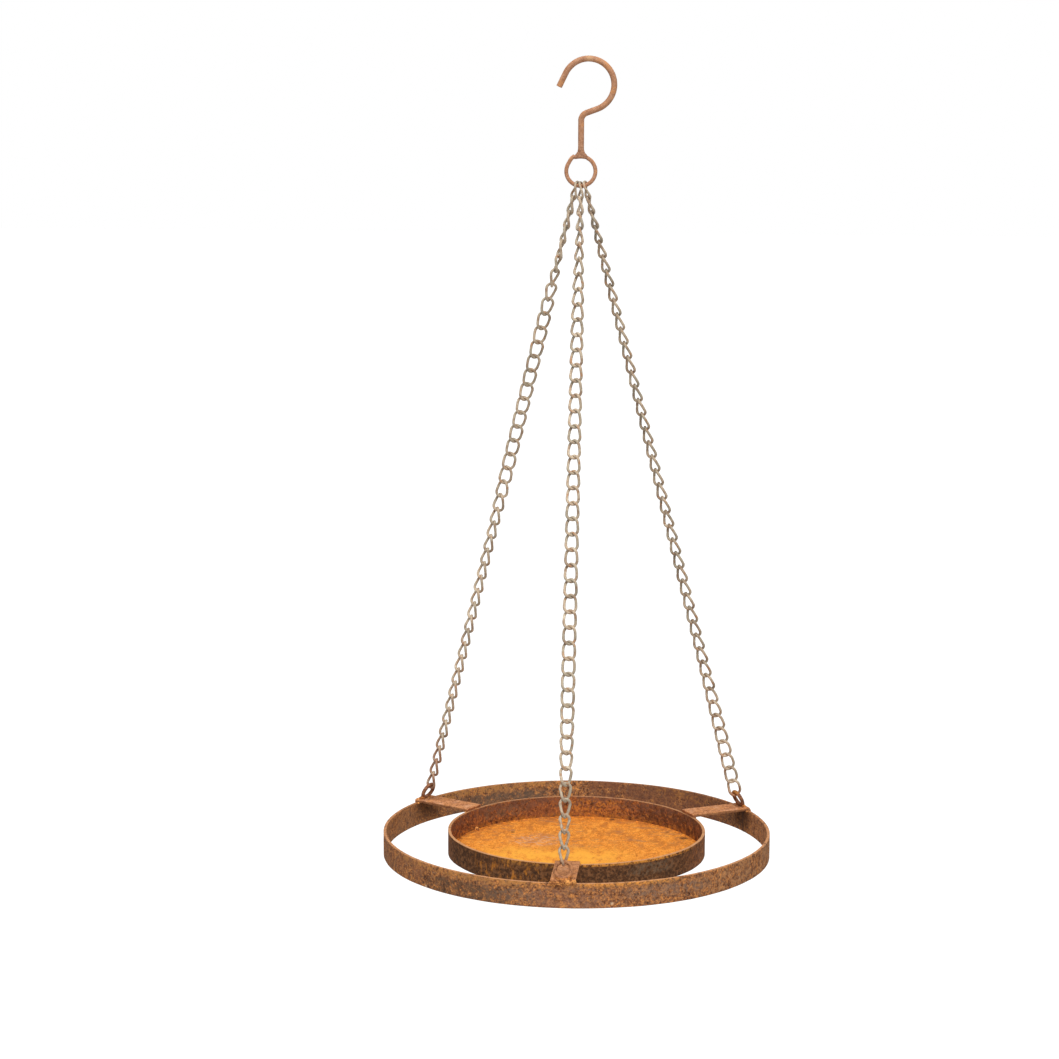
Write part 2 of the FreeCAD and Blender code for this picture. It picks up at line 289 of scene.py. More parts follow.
class Skin:
    """A material built node by node. Sizes are millimetres."""

    def __init__(self, name):
        self.material = bpy.data.materials.new(name)
        self.material.use_nodes = True
        self.tree = self.material.node_tree
        self.tree.nodes.clear()
        self.place = self.add("ShaderNodeTexCoord").outputs["Object"]
        split = self.add("ShaderNodeSeparateXYZ")
        self.join(self.place, split.inputs[0])
        self.x, self.y, self.z = (self.math("MULTIPLY", axis, 1000.0) for axis in split.outputs)
        self.x = self.math("SUBTRACT", self.x, tray_centre.x)
        self.z = self.math("SUBTRACT", self.z, rim_z)
        angle = self.math("ARCTAN2", self.x, self.math("MULTIPLY", self.y, -1.0))
        self.angle = self.math("MULTIPLY", angle, 180 / math.pi)

    def add(self, kind, **settings):
        node = self.tree.nodes.new(kind)
        for key, value in settings.items():
            setattr(node, key, value)
        return node

    def join(self, value, socket):
        if isinstance(value, bpy.types.NodeSocket):
            self.tree.links.new(value, socket)
        elif isinstance(value, tuple) and len(value) == 3 and socket.type == "RGBA":
            socket.default_value = (*value, 1.0)
        else:
            socket.default_value = value

    def math(self, operation, a, b=0.0):
        node = self.add("ShaderNodeMath", operation=operation)
        self.join(a, node.inputs[0])
        self.join(b, node.inputs[1])
        return node.outputs[0]

    def noise(self, size, detail=4.0, roughness=0.6, warp=0.0, shift=0.0, stretch=None):
        place = self.place
        if shift or stretch:
            mapping = self.add("ShaderNodeMapping")
            self.join(place, mapping.inputs["Vector"])
            mapping.inputs["Location"].default_value = (shift, shift * 0.7, -shift)
            mapping.inputs["Scale"].default_value = stretch or (1, 1, 1)
            place = mapping.outputs[0]
        node = self.add("ShaderNodeTexNoise")
        self.join(place, node.inputs["Vector"])
        node.inputs["Scale"].default_value = 1000.0 / size
        node.inputs["Detail"].default_value = detail
        node.inputs["Roughness"].default_value = roughness
        node.inputs["Distortion"].default_value = warp
        return node.outputs[0]

    def cells(self, size):
        node = self.add("ShaderNodeTexVoronoi")
        self.join(self.place, node.inputs["Vector"])
        node.inputs["Scale"].default_value = 1000.0 / size
        return node.outputs[0]

    def range(self, value, low, high, to_low=0.0, to_high=1.0):
        node = self.add("ShaderNodeMapRange", interpolation_type="SMOOTHSTEP")
        self.join(value, node.inputs[0])
        for socket, number in zip(node.inputs[1:5], (low, high, to_low, to_high)):
            socket.default_value = number
        return node.outputs[0]

    def mix(self, amount, a, b):
        node = self.add("ShaderNodeMix", data_type="RGBA")
        self.join(amount, node.inputs[0])
        self.join(a, node.inputs[6])
        self.join(b, node.inputs[7])
        return node.outputs[2]

    def ramp(self, value, stops):
        node = self.add("ShaderNodeValToRGB")
        self.join(value, node.inputs[0])
        elements = node.color_ramp.elements
        while len(elements) < len(stops):
            elements.new(0.5)
        for element, (position, colour) in zip(elements, stops):
            element.position = position
            element.color = (*colour, 1.0)
        return node.outputs[0]

    def both(self, a, b):
        return self.math("MULTIPLY", a, b)

    def patch(self, angles, heights, soft=5.0, soft_height=2.5):
        """1 between two angles round the tray and two heights over its rim, with soft edges."""
        mask = self.both(self.range(self.angle, angles[0] - soft, angles[0] + soft),
                         self.range(self.angle, angles[1] + soft, angles[1] - soft))
        mask = self.both(mask, self.range(self.z, heights[0] - soft_height, heights[0] + soft_height))
        return self.both(mask, self.range(self.z, heights[1] + soft_height, heights[1] - soft_height))

    def patchy_tint(self, colour, mask, tint, strength, size, low=0.42, high=0.58, shift=0.0, stretch=None):
        """Colour tinted inside a mask, where a noise of that size is high. It makes stains, and also
        the painted shade and painted highlights.
        """
        broken = self.range(self.noise(size, 6.0, 0.7, 0.3, shift, stretch), low, high, 0.0, strength)
        return self.mix(self.both(mask, broken), colour, tint)

    def stains(self, colour, rows):
        """Stains one after the other. A row holds a band's face, the patch on it, and what
        the tint helper takes after its mask: tint, strength, size and, where they differ, the rest."""
        for face, where, *look in rows:
            colour = self.patchy_tint(colour, self.both(face, self.patch(*where)), *look)
        return colour

    def dullness(self, value, dark, light):
        """The roughness of rust, from that of its dark tone to that of its light one."""
        return self.range(value, 0.35, 0.65, dark, light)

    def spot(self, centre, radius, soft=0.5):
        """1 inside a ball round a point, 0 outside it, with a soft edge."""
        node = self.add("ShaderNodeVectorMath", operation="DISTANCE")
        self.join(self.place, node.inputs[0])
        node.inputs[1].default_value = tuple(c / 1000 for c in centre)
        return self.range(node.outputs["Value"], radius * (1 + soft) / 1000,
                          radius * (1 - soft) / 1000)

    def finish(self, colour, height, depth, roughness, metallic=0.0, gloss=0.10):
        """Ends in one shader. depth is how deep the bump's height of 1 is."""
        bump = self.add("ShaderNodeBump")
        bump.inputs["Strength"].default_value = 0.7
        bump.inputs["Distance"].default_value = depth / 1000
        self.join(height, bump.inputs["Height"])
        shader = self.add("ShaderNodeBsdfPrincipled")
        self.join(colour, shader.inputs["Base Color"])
        self.join(roughness, shader.inputs["Roughness"])
        self.join(metallic, shader.inputs["Metallic"])
        shader.inputs["Specular IOR Level"].default_value = gloss
        self.join(bump.outputs[0], shader.inputs["Normal"])
        output = self.add("ShaderNodeOutputMaterial")
        self.join(shader.outputs[0], output.inputs["Surface"])
        return self.material


def rust(skin, dark, mid, light, blotch, grain, shift=0.0, spread=1.0, stretch=None, grey=None):
    """Three tones of rust in blotches, broken up by a fine grain. Gives the colour, a height and
    the tone from 0 to 1. grey is the tone of the scale that shows between the grains."""
    wide = skin.noise(blotch, 7.0, 0.74, 0.4, shift, stretch)
    fine = skin.noise(grain, 5.0, 0.78, 0.0, shift + 3.1, stretch)
    value = skin.math("ADD", skin.both(wide, 0.45), skin.both(fine, 0.55))
    colour = skin.ramp(value, [(0.5 - 0.09 * spread, dark), (0.5, mid), (0.5 + 0.09 * spread, light)])
    if grey:
        scale = skin.range(skin.noise(grain * 1.2, 5.0, 0.75, 0.0, shift + 17.0), 0.52, 0.60)
        colour = skin.mix(skin.both(scale, 0.65), colour, grey)
    pits = skin.range(skin.cells(grain * 1.3), 0.10, 0.40)
    colour = skin.mix(skin.range(pits, 1.0, 0.0, 0.0, 0.6), colour, dark)
    height = skin.math("ADD", skin.both(fine, 0.7), skin.both(pits, 0.25))
    return colour, height, value


def hook_skin():
    """Light, even rust on the hook and the eye ring, with a painted highlight on top of the bend."""
    skin = Skin("rusted_bar")
    colour, height, value = rust(skin, (0.38, 0.175, 0.09), (0.53, 0.265, 0.15),
                                 (0.68, 0.385, 0.235), 5.0, 1.1, spread=1.2)
    orange = skin.range(skin.noise(11.0, 4.0, 0.6, 0.5, 7.0), 0.54, 0.68)
    colour = skin.mix(skin.both(orange, 0.7), colour, (0.72, 0.33, 0.13))
    # Painted highlight on top of the bend
    painted_highlight = skin.spot((0.5, -2.0, 3.0), 3.0, 0.8)
    colour = skin.mix(skin.both(painted_highlight, 0.55), colour, (0.80, 0.50, 0.27))
    joint = skin.spot(foot, 8.0, 0.4)
    colour = skin.patchy_tint(colour, joint, (0.30, 0.15, 0.09), 0.7, 2.5)
    return skin.finish(colour, height, 0.3, skin.dullness(value, 0.9, 0.7))


def chain_skin():
    """Dull bare steel in patches, with rust stains, most of them at the left chain's end."""
    skin = Skin("chain_steel")
    steel = skin.noise(17.0, 3.0, 0.6, 0.3)
    colour = skin.ramp(steel, [(0.34, (0.36, 0.30, 0.22)), (0.46, (0.53, 0.45, 0.33)),
                               (0.56, (0.57, 0.44, 0.31)), (0.68, (0.76, 0.65, 0.49))])
    fine = skin.noise(1.3, 5.0, 0.75)
    colour = skin.mix(skin.range(fine, 0.54, 0.38, 0.0, 0.30), colour, (0.28, 0.17, 0.11))
    patchy_tint = skin.range(skin.noise(6.0, 2.5, 0.6, 0.4, 5.0), 0.50, 0.64)
    colour = skin.mix(skin.both(patchy_tint, 0.65), colour, (0.30, 0.175, 0.11))
    orange = skin.range(skin.noise(5.0, 2.5, 0.6, 0.4, 9.0), 0.57, 0.68)
    colour = skin.mix(skin.both(orange, 0.75), colour, (0.50, 0.24, 0.11))
    left_end = skin.spot(arch_middle(LEGS["left"]) + UP * 12, 38.0)
    colour = skin.patchy_tint(colour, left_end, (0.34, 0.165, 0.095), 0.85, 6.0, 0.36, 0.52, 3.0)
    for leg_name in ("front", "right"):
        end = skin.spot(arch_middle(LEGS[leg_name]), 7.0, 0.4)
        colour = skin.patchy_tint(colour, end, (0.46, 0.22, 0.12), 0.9, 3.0, 0.34, 0.50, 3.0)
    return skin.finish(colour, fine, 0.12, skin.range(fine, 0.3, 0.7, 0.45, 0.65),
                       skin.range(patchy_tint, 0.0, 1.0, 0.08, 0.0), gloss=0.18)


def eyelet_skin():
    """Dark rust, with orange on the right eyelet's arch and the front eyelet."""
    skin = Skin("rusted_wire")
    colour, height, value = rust(skin, (0.11, 0.046, 0.025), (0.28, 0.118, 0.062),
                                 (0.48, 0.22, 0.11), 4.0, 1.3)
    arch = skin.spot(arch_middle(LEGS["right"]), 5.5)
    colour = skin.mix(skin.both(arch, 0.9), colour, (0.52, 0.21, 0.05))
    front = skin.spot(eyelet_foot(LEGS["front"]) + UP * 8, 14.0, 0.3)
    colour = skin.patchy_tint(colour, front, (0.52, 0.23, 0.10), 0.85, 2.5, 0.40, 0.54)
    return skin.finish(colour, height, 0.35, skin.dullness(value, 0.9, 0.7))


def spoke_skin():
    """Pinkish rust, pale in places on top, dark on the sides, and painted shade round the eyelets'
    feet.
    """
    skin = Skin("rusted_flat_bar")
    colour, height, value = rust(skin, (0.22, 0.080, 0.036), (0.53, 0.215, 0.090),
                                 (0.82, 0.40, 0.175), 5.0, 1.8)
    whole = skin.range(skin.z, -1.0, 0.0)
    colour = skin.patchy_tint(colour, whole, (0.62, 0.26, 0.09), 0.7, 10.0, 0.50, 0.62, 4.0)
    top = skin.range(skin.z, 2.4, 3.0)
    colour = skin.patchy_tint(colour, top, (0.74, 0.41, 0.25), 0.55, 14.0, 0.50, 0.66, 8.0)
    # Painted shade in the crevice round each eyelet's foot
    for leg in LEGS.values():
        crevice_shade = skin.spot(eyelet_foot(leg), 7.5, 0.35)
        colour = skin.patchy_tint(colour, crevice_shade, (0.13, 0.05, 0.022), 0.85, 3.0, 0.47, 0.56)
    sides = skin.range(skin.z, 2.6, 2.2)
    colour = skin.mix(skin.both(sides, 0.55), colour, (0.16, 0.07, 0.035))
    return skin.finish(colour, height, 0.5, skin.dullness(value, 0.95, 0.8))


def weld_skin():
    """Orange rust with dark pits, on the spokes' weld metal and the tray's tacks."""
    skin = Skin("rusted_weld")
    colour, height, value = rust(skin, (0.15, 0.055, 0.022), (0.56, 0.215, 0.065),
                                 (0.95, 0.44, 0.12), 3.5, 1.8, 2.0, 0.8)
    return skin.finish(colour, height, 0.5, skin.dullness(value, 0.9, 0.75))


def reach_from_middle(skin):
    """The distance from the tray's upright middle line."""
    across = skin.math("ADD", skin.both(skin.x, skin.x), skin.both(skin.y, skin.y))
    return skin.math("SQRT", across)


def side_masks(skin, radius):
    """1 on a band's outer face, and 1 on its inner face."""
    outer = skin.range(reach_from_middle(skin), radius - 1.7, radius - 1.3)
    return outer, skin.math("SUBTRACT", 1.0, outer)


def flaked(skin, height):
    """The grain's height on top of wider flakes."""
    flakes = skin.range(skin.noise(5.5, 6.0, 0.7, 0.3, 13.0), 0.40, 0.60)
    return skin.math("ADD", skin.both(height, 0.75), skin.both(flakes, 0.45))


def outer_skin():
    """Brown rust and grey scale on the outer ring, its stains placed face by face, with painted
    shadow under the back spokes and a painted highlight along its top edge.
    """
    skin = Skin("rusted_outer_ring")
    colour, height, value = rust(skin, (0.075, 0.030, 0.016), (0.36, 0.138, 0.055),
                                 (0.80, 0.32, 0.085), 6.0, 2.2, 0.0, 0.85,
                                 grey=(0.26, 0.165, 0.105))
    outer, inner = side_masks(skin, OUTER_RADIUS)
    grey = skin.range(skin.noise(30.0, 5.0, 0.65, 0.4, 11.0), 0.50, 0.62)
    colour = skin.mix(skin.both(grey, 0.35), colour, (0.20, 0.125, 0.080))
    colour = skin.stains(colour, (
        # Outer face from left to right, in browns and greys
        (outer, ((-95, -45), (-25, 2)), (0.34, 0.14, 0.065), 0.6, 14.0),
        (outer, ((-42, -14), (-26, -9)), (0.12, 0.070, 0.042), 0.7, 5.0, 0.38, 0.56),
        (outer, ((-22, -6), (-20, -8)), (0.24, 0.15, 0.10), 0.6, 5.0),
        (outer, ((-8, 12), (-25, -4)), (0.36, 0.17, 0.10), 0.5, 9.0),
        (outer, ((18, 44), (-17, -6)), (0.29, 0.18, 0.12), 0.6, 5.0),
        (outer, ((44, 95), (-24, 2)), (0.55, 0.27, 0.12), 0.7, 6.0, 0.45, 0.60, 2.0),
        # Orange along its top
        (outer, ((-62, -7), (-6, 2)), (0.56, 0.25, 0.075), 0.75, 5.0, 0.44, 0.58, 4.0),
        (outer, ((4, 34), (-3.2, 2)), (0.88, 0.36, 0.07), 0.9, 2.4, 0.42, 0.58, 6.0),
        # Inner face: the back left, the left, the back right with its orange, the right
        (inner, ((-168, -122), (-8, 2)), (0.52, 0.23, 0.07), 0.8, 5.0, 0.44, 0.56),
        (inner, ((-168, -132), (-26, -9)), (0.13, 0.088, 0.062), 0.7, 9.0, 0.38, 0.54),
        (inner, ((-130, -60), FULL_HEIGHT), (0.50, 0.21, 0.075), 0.5, 5.0),
        (inner, ((128, 188), FULL_HEIGHT), (0.19, 0.075, 0.042), 0.75, 12.0, 0.36, 0.54),
        (inner, ((136, 160), (-12, 2)), (0.44, 0.18, 0.055), 0.7, 6.0, 0.50, 0.60, 3.0),
        (inner, ((60, 116), FULL_HEIGHT), (0.56, 0.23, 0.10), 0.6, 5.0),
    ))
    # Painted shadow on the ring's inner face under the two back spokes
    for spoke_angle, depth in ((-120.0, 0.55), (120.0, 0.70)):
        painted_spoke_shadow = skin.patch((spoke_angle - 5, spoke_angle + 5), (-21, 2), 4.0, 5.0)
        colour = skin.mix(skin.both(skin.both(inner, painted_spoke_shadow), depth), colour, (0.05, 0.020, 0.009))
    seam = skin.both(inner, skin.patch((OUTER_SEAM - 0.6, OUTER_SEAM + 0.6), (-30, 5), 0.5))
    colour = skin.mix(skin.both(seam, 0.7), colour, (0.09, 0.042, 0.026))
    for angle, low in ((13.8, -21.6), (-44.5, -24.7)):
        chip = skin.patch((angle - 0.35, angle + 0.35), (low, low + 2.3), 0.35, 1.0)
        colour = skin.mix(skin.both(skin.both(outer, chip), 0.8), colour, (0.85, 0.62, 0.40))
    # Painted highlight along the ring's top edge, strongest at the front
    rim_highlight = skin.range(skin.z, -0.55, -0.15)
    front = skin.range(skin.y, 120.0, -20.0, 0.12, 0.85)
    colour = skin.patchy_tint(colour, skin.both(rim_highlight, front), (0.60, 0.29, 0.135), 1.0, 6.0, 0.36, 0.52)
    return skin.finish(colour, flaked(skin, height), 0.6, skin.dullness(value, 0.95, 0.78))


def tray_skin():
    """Black scale outside and orange rust inside on the tray band, with a painted highlight along its
    top edge.
    """
    skin = Skin("rusted_tray_band")
    outer, inner = side_masks(skin, TRAY_RADIUS)
    colour, height, value = rust(skin, (0.062, 0.025, 0.012), (0.25, 0.089, 0.034),
                                 (0.60, 0.21, 0.050), 6.0, 2.2, 5.0, 0.9,
                                 grey=(0.17, 0.105, 0.068))
    black = skin.both(outer, skin.patch((-75, 66), (-30, -0.5), 14.0, 1.0))
    colour = skin.mix(skin.both(black, 0.80), colour, (0.050, 0.026, 0.014))
    back_orange = ((0.70, 0.27, 0.045), 0.6, 3.0, 0.46, 0.60, 9.0)
    colour = skin.stains(colour, (
        # Outer face: brown and grey blotches on the black, then drips and orange at the rim
        (outer, ((-75, 66), (-26, -2)), (0.26, 0.115, 0.048), 0.85, 3.5, 0.47, 0.60, 2.0),
        (outer, ((28, 50), (-15, -4)), (0.20, 0.135, 0.085), 0.65, 4.0),
        (outer, ((-44, -9), (-24, -1)), (0.62, 0.22, 0.032), 0.75, 5.0, 0.50, 0.64, 3.0,
         (1, 1, 0.5)),
        (outer, ((-30, -4), (-4, 2)), (0.60, 0.25, 0.05), 0.75, 3.5, 0.44, 0.58),
        (outer, ((4, 64), (-2.6, 2), 5.0, 0.9), (0.74, 0.29, 0.05), 0.95, 3.0, 0.42, 0.54, 4.0),
        # Its right and left ends
        (outer, ((64, 100), FULL_HEIGHT), (0.30, 0.135, 0.068), 0.6, 7.0),
        (outer, ((-100, -70), FULL_HEIGHT), (0.26, 0.12, 0.062), 0.5, 7.0),
        # Inner face: the back left, the back, and the right with its orange
        (inner, ((-152, -124), (-16, -2)), (0.22, 0.135, 0.078), 0.65, 5.0),
        (inner, ((-182, -152), (-22, 2)), (0.30, 0.11, 0.045), 0.6, 7.0),
        (inner, ((84, 152), (-26, -1)), (0.10, 0.044, 0.022), 0.7, 8.0, 0.38, 0.54),
        (inner, ((84, 152), (-22, -2)), (0.50, 0.20, 0.05), 0.8, 5.0, 0.54, 0.62, 7.0),
        # Darker all along its upper half, orange at the back and over the floor
        (inner, ((-190, 190), (-11, 2)), (0.19, 0.10, 0.068), 0.6, 5.0, 0.42, 0.58, 11.0),
        (inner, ((160, 190), (-20, -3)), *back_orange),
        (inner, ((-190, -170), (-20, -3)), *back_orange),
        (inner, ((-190, 190), (-24, -18.5)), (0.50, 0.19, 0.03), 0.7, 5.0, 0.44, 0.58, 5.0),
    ))
    seam = skin.both(inner, skin.patch((TRAY_SEAM - 0.7, TRAY_SEAM + 0.7), (-26, 5), 0.6))
    colour = skin.mix(skin.both(seam, 0.45), colour, (0.46, 0.17, 0.05))
    # Painted highlight along the band's top edge, strongest at the front
    rim_highlight = skin.both(skin.range(skin.z, -0.55, -0.15), skin.range(skin.y, 90.0, -60.0, 0.5, 0.9))
    colour = skin.patchy_tint(colour, rim_highlight, (0.66, 0.33, 0.15), 1.0, 6.0, 0.30, 0.48)
    return skin.finish(colour, flaked(skin, height), 0.6, skin.dullness(value, 0.95, 0.78))


def floor_skin():
    """Bright orange rust on the tray's floor, yellower in front, with specks and a scratch."""
    skin = Skin("rusted_sheet")
    colour, height, value = rust(skin, (0.52, 0.150, 0.022), (0.85, 0.285, 0.038),
                                 (1.0, 0.44, 0.070), 5.0, 1.7, stretch=(1, 0.6, 1))
    floor_z = rim_z - BAND_HEIGHT + FLOOR_THICKNESS
    back = skin.range(skin.y, -25.0, 45.0, 0.25, 1.0)
    colour = skin.patchy_tint(colour, back, (0.48, 0.155, 0.035), 0.7, 11.0, 0.48, 0.62, 2.0, (1, 0.5, 1))
    colour = skin.patchy_tint(colour, back, (0.36, 0.17, 0.085), 0.6, 22.0, 0.55, 0.64, 6.0, (1, 2.4, 1))
    bright = skin.both(skin.range(skin.y, 22.0, -18.0), skin.range(skin.x, 75.0, 15.0))
    bright = skin.both(bright, skin.range(skin.x, -112.0, -60.0))
    colour = skin.patchy_tint(colour, bright, (1.0, 0.46, 0.058), 0.85, 12.0, 0.36, 0.56, 9.0, (1, 0.5, 1))
    edge = skin.range(reach_from_middle(skin), 104.0, 130.0)
    colour = skin.patchy_tint(colour, edge, (0.40, 0.14, 0.03), 0.75, 7.0, 0.45, 0.60, 3.0)
    for x, y, size in ((-71.8, 63.1, 2.4), (110.0, 55.6, 4.2), (30.9, 122.5, 3.0), (92.0, 78.0, 1.8),
                       (-20.0, 108.0, 1.6)):
        speck = skin.spot((x + tray_centre.x, y, floor_z), size)
        colour = skin.patchy_tint(colour, speck, (0.07, 0.03, 0.015), 0.95, 1.8, 0.36, 0.5)
    scratch = skin.spot((-52.1, 33.6, floor_z), 24.0, 0.4)
    colour = skin.patchy_tint(colour, scratch, (0.62, 0.40, 0.27), 0.85, 6.0, 0.50, 0.60, 4.0, (1, 3.0, 1))
    under = skin.range(skin.z, -23.6, -24.6)
    colour = skin.mix(skin.both(under, 0.55), colour, (0.27, 0.105, 0.042))
    colour = skin.patchy_tint(colour, under, (0.12, 0.052, 0.026), 0.7, 16.0, 0.50, 0.62, 5.0)
    return skin.finish(colour, flaked(skin, height), 0.45, skin.dullness(value, 0.95, 0.85))


# The pieces

def hook_piece(material):
    """The bent bar, cut square at its tip, with weld metal spreading its foot on the eye ring."""
    radius = HOOK_BAR / 2
    tip = math.radians(TIP_ANGLE)
    tip_start = bend_centre + Vector((math.cos(tip), 0, math.sin(tip))) * BEND_RADIUS
    straight = Vector((-math.sin(tip), 0, math.cos(tip)))
    line = []
    sizes = []
    for back, size in ((0.0, radius - 0.5), (0.12, radius - 0.2), (0.5, radius)):
        line.append(tip_start + straight * (TIP_LENGTH - back))
        sizes.append((size, size))
    line += [tip_start + straight * reach for reach in even(TIP_LENGTH * 0.94, 0.0, 9)[:-1]]
    line += circle_path(bend_centre, ACROSS, UP, BEND_RADIUS, even(TIP_ANGLE, -NECK_ANGLE, 72))[0]
    line += [bend_end.lerp(neck_start, part) for part in even(0.0, 1.0, 7)[1:-1]]
    line += circle_path(neck_centre, ACROSS, UP, NECK_RADIUS, even(180 - NECK_ANGLE, 180, 14))[0]
    neck_end = line[-1]
    flare_start = foot + UP * FLARE_HEIGHT
    line += [neck_end.lerp(flare_start, part) for part in even(0.0, 1.0, 14)[1:]]
    sizes += [(radius, radius)] * (len(line) - len(sizes))
    for part in even(0.0, 1.0, 12)[1:]:
        line.append(flare_start - UP * ((FLARE_HEIGHT + FLARE_WRAP) * part))
        sizes.append((radius + (FLARE_DEPTH / 2 - radius) * part,
                      radius + (FLARE_WIDTH / 2 - radius) * part ** 1.8))
    line.append(line[-1] - UP * 0.7)
    sizes.append((FLARE_DEPTH / 2 - 0.8, FLARE_WIDTH / 2 - 1.8))

    def swell(point):
        weld = smooth((foot.z + FLARE_HEIGHT + 1 - point[2]) / 4)
        return 0.05 * rough(point, 1.6) + weld * 0.32 * rough(point, 2.2, 4.0)

    return piece("hook_bar", [tube(line, [AWAY] * len(line), sizes, 20, swell=swell)],
                 material, "hanger", ["hook"])


def eye_pieces(material):
    """One turn of wire, its first end standing a little proud of the weld that closes it."""
    first_end = 112
    proud_until = 150
    angles = even(first_end, 425, 120)
    line, facing = circle_path(eye_centre, ACROSS, UP, EYE_RADIUS, angles)
    for i, angle in enumerate(angles):
        proud = 1.7 * smooth((proud_until - angle) / (proud_until - first_end))
        line[i] = line[i] + facing[i] * proud
    sizes = [EYE_WIRE / 2] * len(line)
    sizes[0] -= 0.5
    wire = tube(line, facing, sizes, 16, swell=lambda p: 0.05 * rough(p, 1.5))
    piece("eye_wire", [wire], material, "hanger", ["eye_ring"])
    line, facing = circle_path(eye_centre, ACROSS, UP, EYE_RADIUS, even(118, 62, 24))
    sizes = [0.6 + 1.55 * math.sin(math.pi * (i + 0.6) / 25.2) ** 0.4 for i in range(len(line))]
    weld = tube(line, facing, sizes, 16, swell=lambda p: 0.22 * rough(p, 1.8, 2.0))
    piece("eye_weld", [weld], material, "hanger", [])


def chain_turn(leg, start_angle, k):
    """How far link k is turned from the top link, so that the end link hangs in its eyelet."""
    whole = (90 - LINK_TWIST - start_angle) % 180 + 180 * leg["half_turns"]
    turn = 0.0
    for start, end, degrees in leg["kinks"]:
        turn += degrees * smooth((k - start) / (end - start))
        whole -= degrees
    return turn + whole * k / (LINKS - 1)


def chain_piece(name, leg, material):
    """All twisted links of one leg, each one wire whose ends meet halfway down one side. The top
    links keep the construction's wire, as they lie beside each other on the eye ring."""
    start = eye_seat(leg)
    run = arch_middle(leg) - start
    down = run.normalized()
    level = turned(ACROSS, leg["azimuth"])
    beside = level.cross(down)
    astride = down.cross(ACROSS).normalized()
    start_angle = math.degrees(math.atan2(astride.dot(beside), astride.dot(level))) + TOP_TURN
    pitch = LINK_LENGTH - LINK_PLAY - (chain_reach - run.length) / LINKS
    first = LINK_LENGTH / 2 - EYE_WIRE / 2 - TOP_PLAY
    half_width = (LINK_WIDTH + LINK_WIRE) / 2
    half_length = (LINK_LENGTH + LINK_WIRE) / 2
    arc_steps, side_steps = 15, 8
    outline = stadium(half_width, half_length, arc_steps, side_steps)
    sizes = [LINK_WIRE / 2 + LINK_SWELL] * len(outline)
    sizes[arc_steps + side_steps // 2] *= 0.84
    top_sizes = [min(size, LINK_WIRE / 2) for size in sizes]
    links = []
    for k in range(LINKS):
        centre = start + down * (first + k * pitch)
        top_angle = start_angle + chain_turn(leg, start_angle, k)
        path = []
        facing = []
        for across, along, out_across, out_along in outline:
            way_down = (half_length - along) / (2 * half_length)
            turn = math.radians(top_angle + LINK_TWIST * way_down)
            arm = level * math.cos(turn) + beside * math.sin(turn)
            path.append(centre + arm * across - down * along)
            facing.append(arm * out_across - down * out_along)
        links.append(tube(path, facing, sizes if k else top_sizes, 10, closed=True))
    nodes = [part + name for part in ("top_link_", "chain_", "end_link_")]
    return piece("links_" + name, links, material, "feeder", nodes)


def band_profile(outside, low, edge, rows):
    """A flat bar on edge, from its outer foot round: (radius, height, way out, 1 or -1)."""
    inside = outside - BAND_THICKNESS

    def corner(face, inwards, level, up, side, steps):
        """Points of an edge that is softened. inwards and up are its ways into the bar."""
        points = []
        for step in steps:
            angle = math.radians(30 * step)
            points.append((face + inwards * edge * (1 - math.cos(angle)),
                           level + up * edge * (1 - math.sin(angle)), side))
        return points

    levels = even(low + edge, low + BAND_HEIGHT - edge, rows)
    profile = [(outside, level, 1) for level in levels]
    profile += corner(outside, -1, rim_z, -1, 1, (1, 2))
    profile += [(outside - edge, rim_z, 0.5), (inside + edge, rim_z, 0.5)]
    profile += corner(inside, 1, rim_z, -1, -1, (2, 1))
    profile += [(inside, level, -1) for level in reversed(levels)]
    profile += corner(inside, 1, low, 1, -1, (1, 2))
    profile += [(inside + edge, low, -0.5), (outside - edge, low, 0.5)]
    profile += corner(outside, -1, low, 1, 1, (2, 1))
    return profile


def band_piece(name, outside, material, seam_angle, seed):
    """A flat bar rolled on edge, a little uneven, its ends butt-welded at seam_angle."""
    profile = band_profile(outside, rim_z - BAND_HEIGHT, 0.5, 9)
    bead_height, bead_width = 0.45, 1.1
    wave_depth, rise_depth, pit_depth = 0.22, 0.12, 0.09
    steps = {float(i) for i in range(360)}
    for aside in (-2.4, -1.6, -1.0, -0.5, 0.0, 0.5, 1.0, 1.6, 2.4):
        steps.add(round((seam_angle + math.degrees(aside / outside)) % 360, 4))
    steps = sorted(steps)
    points = []
    for step in steps:
        way = turned(-AWAY, step)
        from_seam = math.radians(abs((step - seam_angle + 180) % 360 - 180)) * outside
        bead = bead_height * math.exp(-(from_seam / bead_width) ** 2)
        wave = wave_depth * rough(way * 2.0, 1.0, seed)
        rise = rise_depth * rough(way * 3.0, 1.0, seed + 5)
        for radius, z, side in profile:
            point = way * radius + UP * z
            pit = pit_depth * rough(point, 7.0, seed)
            lump = bead * (1 + 0.5 * rough(point, 2.5, seed))
            radius += wave + (pit + lump) * side
            points.append((tray_centre.x + way.x * radius, way.y * radius, z + rise))
    count = len(profile)
    faces = []
    for i in range(len(steps)):
        faces += strip((i + 1) % len(steps) * count, i * count, count)
    return piece(name, [(points, faces)], material, "feeder", [name.replace("_rolled", "")],
                 50.0)


